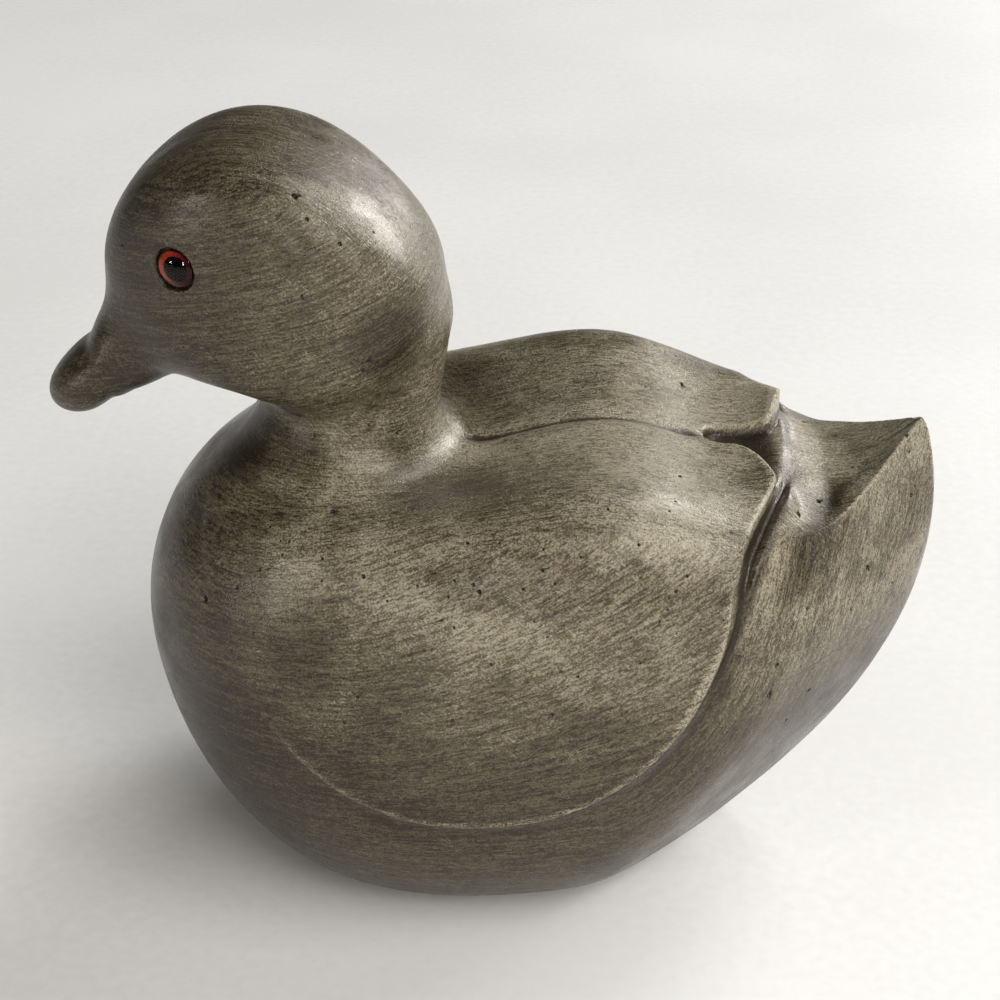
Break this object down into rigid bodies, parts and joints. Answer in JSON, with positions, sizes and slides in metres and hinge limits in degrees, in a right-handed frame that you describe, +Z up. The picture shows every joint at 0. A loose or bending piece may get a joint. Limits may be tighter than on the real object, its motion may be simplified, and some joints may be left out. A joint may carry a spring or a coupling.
{
  "type": "resin duck figurine",
  "caption": "Plump resting duck figurine with folded wings, a rounded head, a short bill, an upturned pointed tail and inset glass eyes, standing on its flat underside.",
  "frame": {"origin": "centre of the duck's bounding box at the height of its flat underside", "axes": "-X towards the bill, +X towards the tail, +Z up, +Y towards the duck's right side, so y = 0 is the duck's middle plane"},
  "size_m": [0.155, 0.0936, 0.1358],
  "materials": {
    "antiqued_resin": "grey-brown cast resin, satin, finely brushed, with dark antiquing in the hollows",
    "eye_glass": "clear polished dome over a red-brown iris and a black pupil"
  },
  "bodies": {
    "root": {"duck_body": "antiqued_resin", "left_eye": "eye_glass", "right_eye": "eye_glass"}
  },
  "joints": []
}
